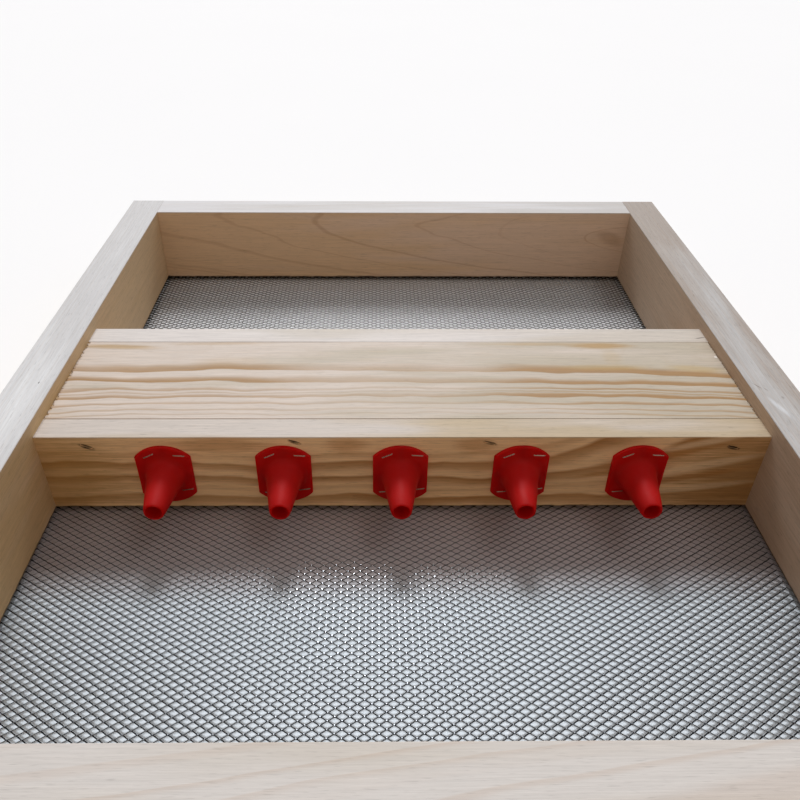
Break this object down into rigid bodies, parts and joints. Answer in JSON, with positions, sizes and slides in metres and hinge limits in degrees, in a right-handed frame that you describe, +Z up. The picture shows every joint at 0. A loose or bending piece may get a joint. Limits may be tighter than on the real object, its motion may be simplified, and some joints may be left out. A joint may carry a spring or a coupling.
{
  "type": "bee escape board",
  "caption": "Pine clearer board for a beehive: a frame with an expanded-metal floor and a covered tunnel from which bees leave through plastic cones.",
  "frame": {"origin": "middle of the footprint, on the surface that the board rests on", "axes": "+X across the board, +Y to the rear, away from the cones, +Z up with the metal floor below"},
  "size_m": [0.43, 0.5, 0.06],
  "materials": {
    "side_rail_pine": "planed, bare",
    "end_rail_pine": "planed, bare",
    "tunnel_pine": "planed, bare",
    "cover_pine": "planed, bare",
    "expanded_metal": "mill finish",
    "cone_plastic": "satin moulded",
    "staple_wire": "galvanised",
    "sunk_staple_wire": "galvanised, dull"
  },
  "bodies": {
    "root": {"cone_staples_1": "staple_wire", "cone_staples_2": "staple_wire", "cone_staples_3": "staple_wire", "cone_staples_4": "staple_wire", "cone_staples_5": "staple_wire", "corner_staples": "sunk_staple_wire", "escape_cone_1": "cone_plastic", "escape_cone_2": "cone_plastic", "escape_cone_3": "cone_plastic", "escape_cone_4": "cone_plastic", "escape_cone_5": "cone_plastic", "front_cover_staples": "sunk_staple_wire", "front_end_rail": "end_rail_pine", "front_mesh_panel": "expanded_metal", "front_mesh_staples": "staple_wire", "left_side_rail": "side_rail_pine", "rear_cover_staples": "sunk_staple_wire", "rear_end_rail": "end_rail_pine", "rear_mesh_panel": "expanded_metal", "rear_mesh_staples": "staple_wire", "right_side_rail": "side_rail_pine", "tunnel_cover": "cover_pine", "tunnel_front_rail": "tunnel_pine", "tunnel_rear_rail": "tunnel_pine", "tunnel_staples": "sunk_staple_wire"}
  },
  "joints": []
}
